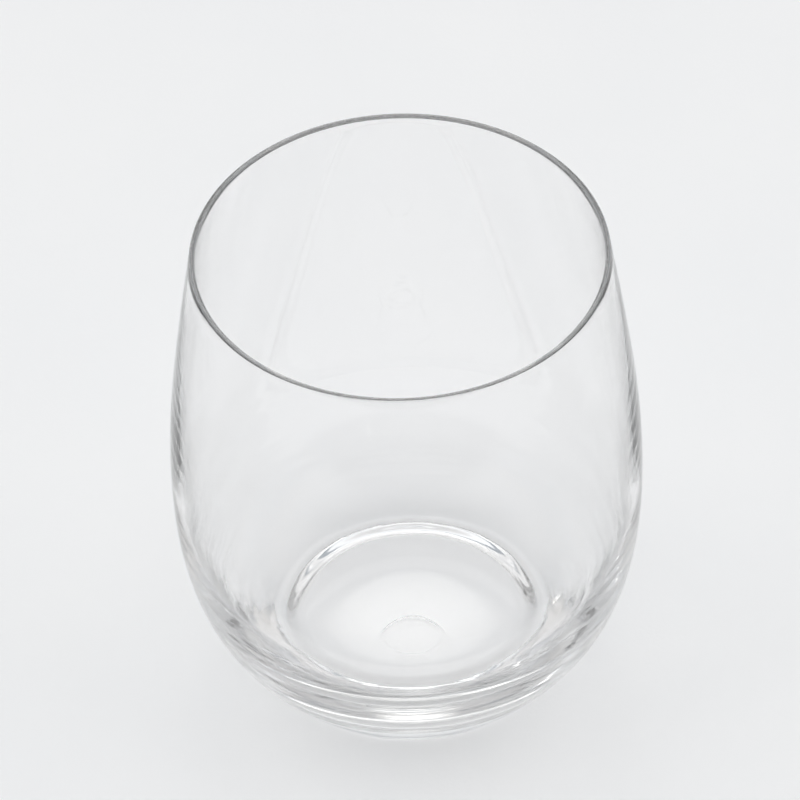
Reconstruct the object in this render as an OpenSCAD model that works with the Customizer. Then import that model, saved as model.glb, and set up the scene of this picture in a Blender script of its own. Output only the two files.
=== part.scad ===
// Stemless wine glass: one piece of clear glass, turned from a single profile.
// The profile runs up the outside, over the lip, down the inside and along the underside.

/* [Rim] */
// Outside diameter of the rim
rim_d = 72; // [66:0.5:76]
// Thickness of the glass at the lip, which is fully rounded
lip_wall = 1.05; // [0.9:0.05:1.5]
// Lean of the wall towards the middle at the rim, in degrees from upright
rim_lean = 8.7; // [6:0.1:11]

/* [Bowl] */
// Height of the whole glass
glass_h = 92.3; // [86:0.1:100]
// Outside diameter at the widest part of the bowl
belly_d = 82.2; // [79:0.2:88]
// Height of the widest part above the table
belly_h = 42.9; // [40:0.1:47]
// Thickness of the wall at the widest part
belly_wall = 1.5; // [1.2:0.1:2]

/* [Foot] */
// Outside diameter of the ring on which the glass stands
ring_d = 50.4; // [46:0.2:54]
// Width of the flat that touches the table
ring_w = 0.6; // [0.4:0.1:1.2]
// Radius of the rounded edge between the ring and the side
heel_r = 2; // [1.2:0.1:2.6]
// Slope of the side where it leaves the heel, in degrees from upright
foot_flare = 39.8; // [35:0.1:43]
// Thickness of the glass in the middle of the foot
base_wall = 5.3; // [4.5:0.1:7]
// Depth of the hollow under the foot, which has a flat roof
punt_depth = 1.4; // [0.8:0.1:1.8]
// Width of the slope that leads from the ring up to the flat roof
punt_slope_w = 6.5; // [4:0.25:8]

/* [Mould mark] */
// Diameter of the fine ring that the mould leaves under the foot
mark_d = 11; // [8:0.5:14]
// Width of the line of the mark
mark_w = 0.4; // [0.3:0.05:0.8]
// Depth of the line of the mark
mark_depth = 0.12; // [0.08:0.01:0.2]

/* [Hidden] */
$fn = 96;

// Straight steps along one curve, and along one rounded edge
curve_steps = 16;
round_steps = 6;

// Handles of the outside curves, as shares of the height that each one climbs
foot_pull_share = 0.23;
low_belly_pull_share = 0.61;
high_belly_pull_share = 0.25;
rim_pull_share = 0.51;

// Handles of the inside curve: down the wall, and across the floor
wall_pull_share = 1;
floor_pull_share = 0.5;

// Handles of the slope underneath, at the roof and at the ring, as shares of its width and depth
roof_pull_share = 0.34;
ring_pull_share = 0.34;
ring_drop_share = 0.41;

rim_r = rim_d / 2;
belly_r = belly_d / 2;
ring_r = ring_d / 2;
lip_r = lip_wall / 2;
mark_r = mark_d / 2;
floor_h = punt_depth + base_wall;

// Middle of the rounded lip, and the direction square to the wall there
lip_mid = [rim_r - lip_r, glass_h - lip_r];
rim_out = [cos(rim_lean), sin(rim_lean)];

// Middle of the rounded heel, and the point where the side leaves it
heel_mid = [ring_r, heel_r];
heel_top = heel_mid + heel_r * [cos(foot_flare), -sin(foot_flare)];

belly_out = [belly_r, belly_h];
belly_in = [belly_r - belly_wall, belly_h];
floor_mid = [0, floor_h];
low_rise = belly_h - heel_top[1];
high_rise = glass_h - belly_h;
bowl_depth = belly_h - floor_h;

function bezier(a, b, c, d, n) =
    [for (i = [0:n]) let (t = i / n, s = 1 - t)
        s^3 * a + 3 * s^2 * t * b + 3 * s * t^2 * c + t^3 * d];

function arc(mid, r, from, to, n) =
    [for (i = [0:n]) let (a = from + (to - from) * i / n) mid + r * [cos(a), sin(a)]];

// Points of a list without its first one, where the stretch before has it already
function rest(list) = [for (i = [1:len(list) - 1]) list[i]];

// Direction of a wall that leans by an angle, scaled to climb a given height
function climb(lean, rise) = rise * [-tan(lean), 1];

heel = arc(heel_mid, heel_r, -90, -foot_flare, round_steps);

outside_low = bezier(
    heel_top,
    heel_top + climb(-foot_flare, foot_pull_share * low_rise),
    belly_out - [0, low_belly_pull_share * low_rise],
    belly_out,
    curve_steps);

outside_high = bezier(
    belly_out,
    belly_out + [0, high_belly_pull_share * high_rise],
    lip_mid + lip_r * rim_out - climb(rim_lean, rim_pull_share * high_rise),
    lip_mid + lip_r * rim_out,
    curve_steps);

lip = arc(lip_mid, lip_r, rim_lean, rim_lean + 180, round_steps);

inside_high = bezier(
    lip_mid - lip_r * rim_out,
    lip_mid - lip_r * rim_out - climb(rim_lean, rim_pull_share * high_rise),
    belly_in + [0, high_belly_pull_share * high_rise],
    belly_in,
    curve_steps);

inside_low = bezier(
    belly_in,
    belly_in - [0, wall_pull_share * bowl_depth],
    floor_mid + [floor_pull_share * belly_in[0], 0],
    floor_mid,
    curve_steps);

// The hollow underneath: flat in the middle, then down in an even slope to the ring
punt_r = ring_r - ring_w;
roof_r = punt_r - punt_slope_w;
punt = bezier(
    [roof_r, punt_depth],
    [roof_r + roof_pull_share * punt_slope_w, punt_depth],
    [punt_r - ring_pull_share * punt_slope_w, ring_drop_share * punt_depth],
    [punt_r, 0],
    round_steps);

module bowl() {
    color("#e9eff0")
    rotate_extrude()
    difference() {
        polygon(concat(
            heel,
            rest(outside_low),
            rest(outside_high),
            rest(lip),
            rest(inside_high),
            rest(inside_low),
            [[0, punt_depth]],
            punt));
        mark();
    }
}

// The mark is a fine groove in the roof of the hollow
module mark() {
    translate([mark_r - mark_w / 2, 0])
        square([mark_w, punt_depth + mark_depth]);
}

bowl();
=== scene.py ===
import math

import bmesh
import bpy
from mathutils import Matrix, Vector, noise


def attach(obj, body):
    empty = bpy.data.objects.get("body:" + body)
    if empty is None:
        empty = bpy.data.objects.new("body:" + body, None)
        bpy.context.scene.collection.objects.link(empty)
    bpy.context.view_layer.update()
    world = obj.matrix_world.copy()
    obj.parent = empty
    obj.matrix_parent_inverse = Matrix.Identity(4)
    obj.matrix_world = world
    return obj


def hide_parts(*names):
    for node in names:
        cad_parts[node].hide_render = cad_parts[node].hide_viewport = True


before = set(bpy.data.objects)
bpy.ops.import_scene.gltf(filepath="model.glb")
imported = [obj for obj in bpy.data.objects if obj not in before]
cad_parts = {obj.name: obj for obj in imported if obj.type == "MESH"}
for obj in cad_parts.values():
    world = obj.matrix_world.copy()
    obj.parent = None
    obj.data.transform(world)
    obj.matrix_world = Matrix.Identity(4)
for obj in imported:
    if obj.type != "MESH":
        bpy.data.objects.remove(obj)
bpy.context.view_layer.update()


# The glass itself: one gather of clear glass, blown or spun in a mould and cracked off, with the
# lip melted round in a flame. The wall is thin, the foot is thick, and a shallow hollow lies
# under it, so that it stands on a narrow ring.
rim_d = 0.072
lip_wall = 0.00105
rim_lean = 8.7
glass_h = 0.0923
belly_d = 0.0822
belly_h = 0.0429
belly_wall = 0.0015
ring_d = 0.0504
ring_w = 0.0008
heel_r = 0.002
foot_flare = 39.8
base_wall = 0.0053
punt_depth = 0.0014
punt_slope_w = 0.0048

rim_r = rim_d / 2
belly_r = belly_d / 2
ring_r = ring_d / 2
lip_r = lip_wall / 2
floor_h = punt_depth + base_wall

# How far the wall keeps its lean before it bends, as shares of the height that it climbs, and how
# far the floor stays flat, as a share of the inside radius
foot_pull = 0.23
low_belly_pull = 0.61
high_belly_pull = 0.25
rim_pull = 0.51
floor_pull = 0.5

# Straight steps along each stretch of the profile, and round the glass
heel_steps = 10
low_wall_steps = 120
high_wall_steps = 44
lip_steps = 18
bowl_steps = 150
hollow_steps = 24
roof_steps = 60
turn_steps = 176

# Two points as near as this are one point, and a point as near to the axis is on it
same_point = 1e-7


def bend(a, b, c, d, steps):
    """Points along one smooth bend that leaves a towards b and comes to d from c."""
    a, b, c, d = (Vector(p) for p in (a, b, c, d))
    points = []
    for i in range(steps + 1):
        t = i / steps
        s = 1 - t
        points.append(s**3 * a + 3 * s * s * t * b + 3 * s * t * t * c + t**3 * d)
    return points


def rounding(mid, radius, start, end, steps):
    """Points round an edge, from one angle to another in degrees."""
    points = []
    for i in range(steps + 1):
        turn = math.radians(start + (end - start) * i / steps)
        points.append(Vector(mid) + radius * Vector((math.cos(turn), math.sin(turn))))
    return points


def climb(lean, rise):
    """A step up a wall that leans inwards by an angle in degrees."""
    return rise * Vector((-math.tan(math.radians(lean)), 1))


lip_mid = Vector((rim_r - lip_r, glass_h - lip_r))
rim_out = Vector((math.cos(math.radians(rim_lean)), math.sin(math.radians(rim_lean))))
rim_side = lip_mid + lip_r * rim_out
rim_inside = lip_mid - lip_r * rim_out
heel_mid = Vector((ring_r, heel_r))
flare = math.radians(foot_flare)
heel_top = heel_mid + heel_r * Vector((math.cos(flare), -math.sin(flare)))
belly_out = Vector((belly_r, belly_h))
belly_in = Vector((belly_r - belly_wall, belly_h))
low_rise = belly_h - heel_top[1]
high_rise = glass_h - belly_h
up = Vector((0, 1))

heel = rounding(heel_mid, heel_r, -90, -foot_flare, heel_steps)
outside_low = bend(
    heel_top,
    heel_top + climb(-foot_flare, foot_pull * low_rise),
    belly_out - low_belly_pull * low_rise * up,
    belly_out,
    low_wall_steps)
outside_high = bend(
    belly_out,
    belly_out + high_belly_pull * high_rise * up,
    rim_side - climb(rim_lean, rim_pull * high_rise),
    rim_side,
    high_wall_steps)
lip = rounding(lip_mid, lip_r, rim_lean, rim_lean + 180, lip_steps)
inside_high = bend(
    rim_inside,
    rim_inside - climb(rim_lean, rim_pull * high_rise),
    belly_in + high_belly_pull * high_rise * up,
    belly_in,
    high_wall_steps)
inside_low = bend(
    belly_in,
    belly_in - (belly_h - floor_h) * up,
    (floor_pull * belly_in[0], floor_h),
    (0, floor_h),
    bowl_steps)

# The hollow underneath: a flat roof, and a slope that eases down to the ring
punt_r = ring_r - ring_w
roof_r = punt_r - punt_slope_w
roof = [Vector((roof_r * i / roof_steps, punt_depth)) for i in range(roof_steps)]
hollow = bend(
    (roof_r, punt_depth),
    (roof_r + punt_slope_w / 3, punt_depth),
    (punt_r - punt_slope_w / 3, punt_depth / 3),
    (punt_r, 0),
    hollow_steps)
profile = (heel + outside_low[1:] + outside_high[1:] + lip[1:] + inside_high[1:]
    + inside_low[1:] + roof + hollow)

glass_shape = bmesh.new()
line = [glass_shape.verts.new((r, 0, z)) for r, z in profile]
edges = [glass_shape.edges.new(pair) for pair in zip(line, line[1:])
    if pair[0].co.x > same_point or pair[1].co.x > same_point]
edges.append(glass_shape.edges.new((line[-1], line[0])))
bmesh.ops.spin(
    glass_shape,
    geom=line + edges,
    cent=(0, 0, 0),
    axis=(0, 0, 1),
    angle=2 * math.pi,
    steps=turn_steps,
    use_merge=True)
bmesh.ops.remove_doubles(glass_shape, verts=glass_shape.verts, dist=same_point)
bmesh.ops.recalc_face_normals(glass_shape, faces=glass_shape.faces)

# Turning in the mould leaves shallow rings round the lower wall, in three sets of a size, a count
# to the metre and a turn, and slow waves over the whole wall. They begin above the heel, end below
# the lip, and fade towards the belly line outside and the middle of the floor inside.
ring_sets = ((1, 210, 0.5), (0.35, 480, 0.8), (0.12, 1000, 1.2))
ring_size = 60e-6
rings_top = 0.05
rings_rise = 0.04
rings_curve = 1.5
rings_least = 0.02
wave_size = 10e-6
wave_count = 45
wave_turn = 2.2
wall_start = 0.0024
wall_end = glass_h - 0.002
start_fade = 0.002
end_fade = 0.01
belly_fade = 0.004
calm_floor_r = 0.013
floor_fade = 0.012
inside_share = 0.6
inner_floor_r = 0.034
inner_floor_tilt = 0.3
inner_pattern = 37.0


def share(part, whole):
    """How much of a whole a part makes up, from 0 to 1."""
    return min(1, max(0, part / whole))


glass_shape.normal_update()
for v in glass_shape.verts:
    x, y, z = v.co
    r = math.hypot(x, y)
    if r < same_point or z < wall_start or z > wall_end:
        continue
    faces_in = v.normal.x * x + v.normal.y * y < 0
    faces_up = v.normal.z > 0.5
    inner = faces_in or (faces_up and r < inner_floor_r)
    pattern = inner_pattern if inner else 0.0
    low = share(rings_top - z, rings_rise) ** rings_curve
    if inner:
        calm = share(r - calm_floor_r, floor_fade) * inside_share
        along = z - inner_floor_tilt * r
    else:
        calm = share(abs(z - belly_h), belly_fade)
        along = z
    fade = share(z - wall_start, start_fade) * share(wall_end - z, end_fade)
    rings = 0
    for size, count, turn in ring_sets:
        spot = Vector((x / r * turn, y / r * turn + pattern, along * count))
        rings += size * noise.noise(spot)
    waves = noise.noise(Vector((x / r * wave_turn, y / r * wave_turn + pattern, z * wave_count)))
    v.co += v.normal * fade * calm * (
        ring_size * rings * (rings_least + low) + wave_size * waves)

# The mould leaves a fine ring in the roof of the hollow, a little off the middle
mark_d = 0.011
mark_w = 0.0009
mark_depth = 0.00022
mark_middle = Vector((0, -0.0053))
roof_reach = 0.0002
for v in glass_shape.verts:
    faces_down = v.normal.z < -0.9
    if faces_down and abs(v.co.z - punt_depth) < roof_reach:
        off_line = abs((v.co.xy - mark_middle).length - mark_d / 2) / (mark_w / 2)
        if off_line < 1:
            v.co.z += mark_depth * (1 - off_line ** 2) ** 2

bowl_mesh = bpy.data.meshes.new("glass_bowl")
glass_shape.to_mesh(bowl_mesh)
glass_shape.free()
for face in bowl_mesh.polygons:
    face.use_smooth = True
bowl = bpy.data.objects.new("glass_bowl", bowl_mesh)
bpy.context.scene.collection.objects.link(bowl)

clear_glass = bpy.data.materials.new("clear_glass")
clear_glass.use_nodes = True
glass_tree = clear_glass.node_tree
nodes = glass_tree.nodes
links = glass_tree.links
glass_shader = nodes["Principled BSDF"]
glass_shader.inputs["Base Color"].default_value = (1, 1, 1, 1)
glass_shader.inputs["Roughness"].default_value = 0
glass_shader.inputs["IOR"].default_value = 1.52
glass_shader.inputs["Transmission Weight"].default_value = 1
thick_glass = nodes.new("ShaderNodeVolumeAbsorption")
thick_glass.inputs["Color"].default_value = (0.5, 0.5, 0.5, 1)
thick_glass.inputs["Density"].default_value = 13
links.new(thick_glass.outputs["Volume"], nodes["Material Output"].inputs["Volume"])

# The skin of the glass: fine rings from the turning, strongest low on the wall, and a slight
# unevenness that begins above the foot
low_skin_top = 0.052
low_skin_end = 0.008
uneven_start = 0.008
uneven_end = 0.016
skin_depth = 26e-6
place = nodes.new("ShaderNodeTexCoord").outputs["Object"]
place_parts = nodes.new("ShaderNodeSeparateXYZ")
links.new(place, place_parts.inputs["Vector"])


def soft_step(tree, value, start, end, least=0, most=1):
    """A value that goes softly from least to most as another one goes from start to end."""
    step = tree.nodes.new("ShaderNodeMapRange")
    step.interpolation_type = "SMOOTHSTEP"
    tree.links.new(value, step.inputs["Value"])
    step.inputs["From Min"].default_value = start
    step.inputs["From Max"].default_value = end
    step.inputs["To Min"].default_value = least
    step.inputs["To Max"].default_value = most
    return step.outputs["Result"]


def reckon(operation, first, second):
    """One sum on the outputs of two other nodes."""
    sum_node = nodes.new("ShaderNodeMath")
    sum_node.operation = operation
    links.new(first, sum_node.inputs[0])
    links.new(second, sum_node.inputs[1])
    return sum_node.outputs["Value"]


height = place_parts.outputs["Z"]
stretch = nodes.new("ShaderNodeMapping")
stretch.inputs["Scale"].default_value = (6, 6, 420)
links.new(place, stretch.inputs["Vector"])
fine_rings = nodes.new("ShaderNodeTexNoise")
fine_rings.inputs["Scale"].default_value = 1
fine_rings.inputs["Detail"].default_value = 2
fine_rings.inputs["Roughness"].default_value = 0.6
links.new(stretch.outputs["Vector"], fine_rings.inputs["Vector"])
low_part = soft_step(glass_tree, height, low_skin_top, low_skin_end, least=0.05)
ring_height = reckon("MULTIPLY", fine_rings.outputs["Fac"], low_part)
uneven = nodes.new("ShaderNodeTexNoise")
uneven.inputs["Scale"].default_value = 260
uneven.inputs["Detail"].default_value = 1
links.new(place, uneven.inputs["Vector"])
above_foot = soft_step(glass_tree, height, uneven_start, uneven_end, most=0.22)
uneven_height = reckon("MULTIPLY", uneven.outputs["Fac"], above_foot)
skin = nodes.new("ShaderNodeBump")
skin.inputs["Strength"].default_value = 1
skin.inputs["Distance"].default_value = skin_depth
links.new(reckon("ADD", ring_height, uneven_height), skin.inputs["Height"])
links.new(skin.outputs["Normal"], glass_shader.inputs["Normal"])
bowl_mesh.materials.append(clear_glass)
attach(bowl, "root")
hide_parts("bowl")


# The table top: a wide sheet of pale matt paper on which the glass stands. It runs out far enough
# to be the background of every view, and lies a hair below the ring, so that no two faces meet.
paper_r = 6
paper_drop = 0.00005
bpy.ops.mesh.primitive_circle_add(
    vertices=96, radius=paper_r, fill_type="NGON", location=(0, 0, 0))
paper = bpy.context.object
paper.name = "paper"
for v in paper.data.vertices:
    v.co.z = -paper_drop
paper_look = bpy.data.materials.new("pale_paper")
paper_look.use_nodes = True
paper_nodes = paper_look.node_tree.nodes
paper_links = paper_look.node_tree.links
paper_shader = paper_nodes["Principled BSDF"]
paper_shader.inputs["Roughness"].default_value = 1
paper_shader.inputs["Specular IOR Level"].default_value = 0
paper_place = paper_nodes.new("ShaderNodeTexCoord").outputs["Object"]
cloud = paper_nodes.new("ShaderNodeTexNoise")
cloud.inputs["Scale"].default_value = 18
cloud.inputs["Detail"].default_value = 4
paper_links.new(paper_place, cloud.inputs["Vector"])
paper_tone = paper_nodes.new("ShaderNodeValToRGB")
paper_tone.color_ramp.elements[0].position = 0.3
paper_tone.color_ramp.elements[0].color = (0.903, 0.908, 0.916, 1)
paper_tone.color_ramp.elements[1].position = 0.7
paper_tone.color_ramp.elements[1].color = (0.925, 0.927, 0.93, 1)
paper_links.new(cloud.outputs["Fac"], paper_tone.inputs["Fac"])
paper_links.new(paper_tone.outputs["Color"], paper_shader.inputs["Base Color"])
tooth = paper_nodes.new("ShaderNodeTexNoise")
tooth.inputs["Scale"].default_value = 1400
tooth.inputs["Detail"].default_value = 3
paper_links.new(paper_place, tooth.inputs["Vector"])
paper_bump = paper_nodes.new("ShaderNodeBump")
paper_bump.inputs["Strength"].default_value = 0.25
paper_bump.inputs["Distance"].default_value = 0.0001
paper_links.new(tooth.outputs["Fac"], paper_bump.inputs["Height"])
paper_links.new(paper_bump.outputs["Normal"], paper_shader.inputs["Normal"])
paper.data.materials.append(paper_look)


# The room: a wide soft light overhead and a pale wall behind the glass, with the unlit side of the
# room behind the camera. The camera itself sees the room as pale as the paper.
room_strength = 4
window_blue = 0.97
world = bpy.data.worlds.new("pale_room")
bpy.context.scene.world = world
world.use_nodes = True
room = world.node_tree
way = room.nodes.new("ShaderNodeTexCoord").outputs["Generated"]
way_parts = room.nodes.new("ShaderNodeSeparateXYZ")
room.links.new(way, way_parts.inputs["Vector"])
flat_way = room.nodes.new("ShaderNodeVectorMath")
flat_way.operation = "MULTIPLY"
flat_way.inputs[1].default_value = (1, 1, 0)
room.links.new(way, flat_way.inputs[0])
level_way = room.nodes.new("ShaderNodeVectorMath")
level_way.operation = "NORMALIZE"
room.links.new(flat_way.outputs["Vector"], level_way.inputs[0])
level_parts = room.nodes.new("ShaderNodeSeparateXYZ")
room.links.new(level_way.outputs["Vector"], level_parts.inputs["Vector"])
away_from_camera = level_parts.outputs["Y"]


def side_of_room(*steps):
    """The light on one side of the room: each step is a height, a level and a warmth."""
    ramp = room.nodes.new("ShaderNodeValToRGB")
    while len(ramp.color_ramp.elements) < len(steps):
        ramp.color_ramp.elements.new(0.5)
    for element, (height, level, warmth) in zip(ramp.color_ramp.elements, steps):
        element.position = height
        shade = level / room_strength
        element.color = (shade * (1 + warmth), shade, shade * (1 - warmth), 1)
    room.links.new(way_parts.outputs["Z"], ramp.inputs["Fac"])
    return ramp.outputs["Color"]


def blend_room(mask, first, second, how="MIX"):
    """Two lights of the room, mixed or added up where the mask is high."""
    mix = room.nodes.new("ShaderNodeMix")
    mix.data_type = "RGBA"
    mix.blend_type = how
    room.links.new(mask, mix.inputs["Factor"])
    room.links.new(first, mix.inputs["A"])
    if isinstance(second, tuple):
        mix.inputs["B"].default_value = second
    else:
        room.links.new(second, mix.inputs["B"])
    return mix.outputs["Result"]


def lit_window(light, turn, rise, edge, middle, level):
    """The light with a round soft window added. Its turn and rise, and the half widths of its
    edge and of its bright middle, are in degrees."""
    turn, rise = math.radians(turn), math.radians(rise)
    nearness = room.nodes.new("ShaderNodeVectorMath")
    nearness.operation = "DOT_PRODUCT"
    room.links.new(way, nearness.inputs[0])
    nearness.inputs[1].default_value = (
        math.sin(turn) * math.cos(rise), math.cos(turn) * math.cos(rise), math.sin(rise))
    window = soft_step(
        room,
        nearness.outputs["Value"],
        math.cos(math.radians(edge)),
        math.cos(math.radians(middle)))
    shade = level / room_strength
    window_colour = (shade, shade, shade * window_blue, 1)
    return blend_room(window, light, window_colour, how="ADD")


beside = side_of_room(
    (0, 0.87, 0), (0.1, 0.95, 0), (0.2, 0.95, -0.03), (0.5, 0.7, -0.05), (0.64, 1.2, 0.03),
    (0.8, 1.6, 0), (1, 1.4, 0))
behind_glass = side_of_room(
    (0, 0.87, 0), (0.1, 1, 0), (0.2, 1.3, -0.02), (0.4, 1.25, -0.02), (0.45, 0.4, -0.12),
    (0.56, 0.4, -0.12), (0.64, 0.85, 0), (0.82, 1, 0), (1, 1.4, 0))
behind_camera = side_of_room(
    (0, 0.87, 0), (0.06, 0.8, 0), (0.14, 0.04, 0), (0.72, 0.04, 0), (0.84, 0.6, 0),
    (0.93, 1.1, 0), (1, 1.4, 0))
far_side = soft_step(room, away_from_camera, 0.5, 0.85)
near_side = soft_step(room, away_from_camera, -0.4, -0.75)
light = blend_room(far_side, beside, behind_glass)
light = blend_room(near_side, light, behind_camera)

# The inside of the foot mirrors the first window as a pale oval, and the thick lower wall gathers
# the small one into bright streaks
light = lit_window(light, turn=0, rise=39.2, edge=12, middle=4, level=1.8)
light = lit_window(light, turn=-34, rise=18, edge=3, middle=1, level=7)
room_light = room.nodes["Background"]
room_light.inputs["Strength"].default_value = room_strength
room.links.new(light, room_light.inputs["Color"])
room_seen = room.nodes.new("ShaderNodeBackground")
room_seen.inputs["Color"].default_value = (0.85, 0.86, 0.88, 1)
eye = room.nodes.new("ShaderNodeLightPath")
seen_or_lit = room.nodes.new("ShaderNodeMixShader")
room.links.new(eye.outputs["Is Camera Ray"], seen_or_lit.inputs["Fac"])
room.links.new(room_light.outputs["Background"], seen_or_lit.inputs[1])
room.links.new(room_seen.outputs["Background"], seen_or_lit.inputs[2])
room.links.new(seen_or_lit.outputs["Shader"], room.nodes["World Output"].inputs["Surface"])


# The camera: a long lens that looks down into the glass from the front, with a small roll. It
# stands on a slope up from the middle of the mouth. Its angles are in degrees.
camera_distance = 1.44
camera_rise = math.radians(42.983)
camera_turn = 0.044
camera_dip = 43.97
camera_roll = -1.942
camera_data = bpy.data.cameras.new("camera")
camera_data.sensor_width = 36
camera_data.lens = 380.94
camera_data.clip_start = 0.05
camera_data.clip_end = 50
camera = bpy.data.objects.new("camera", camera_data)
bpy.context.scene.collection.objects.link(camera)
camera_place = (
    Matrix.Rotation(math.radians(camera_turn), 4, "Z")
    @ Matrix.Rotation(math.radians(90 - camera_dip), 4, "X")
    @ Matrix.Rotation(math.radians(camera_roll), 4, "Z"))
camera_place.translation = Vector((
    0,
    -camera_distance * math.cos(camera_rise),
    glass_h + camera_distance * math.sin(camera_rise)))
camera.matrix_world = camera_place
bpy.context.scene.camera = camera

# Light crosses the lip and the foot many times before it leaves the glass
glass_bounces = 44
paper_bounces = 4
scene = bpy.context.scene
scene.view_settings.view_transform = "Standard"
scene.cycles.max_bounces = glass_bounces
scene.cycles.transmission_bounces = glass_bounces
scene.cycles.glossy_bounces = glass_bounces
scene.cycles.diffuse_bounces = paper_bounces
scene.cycles.blur_glossy = 0
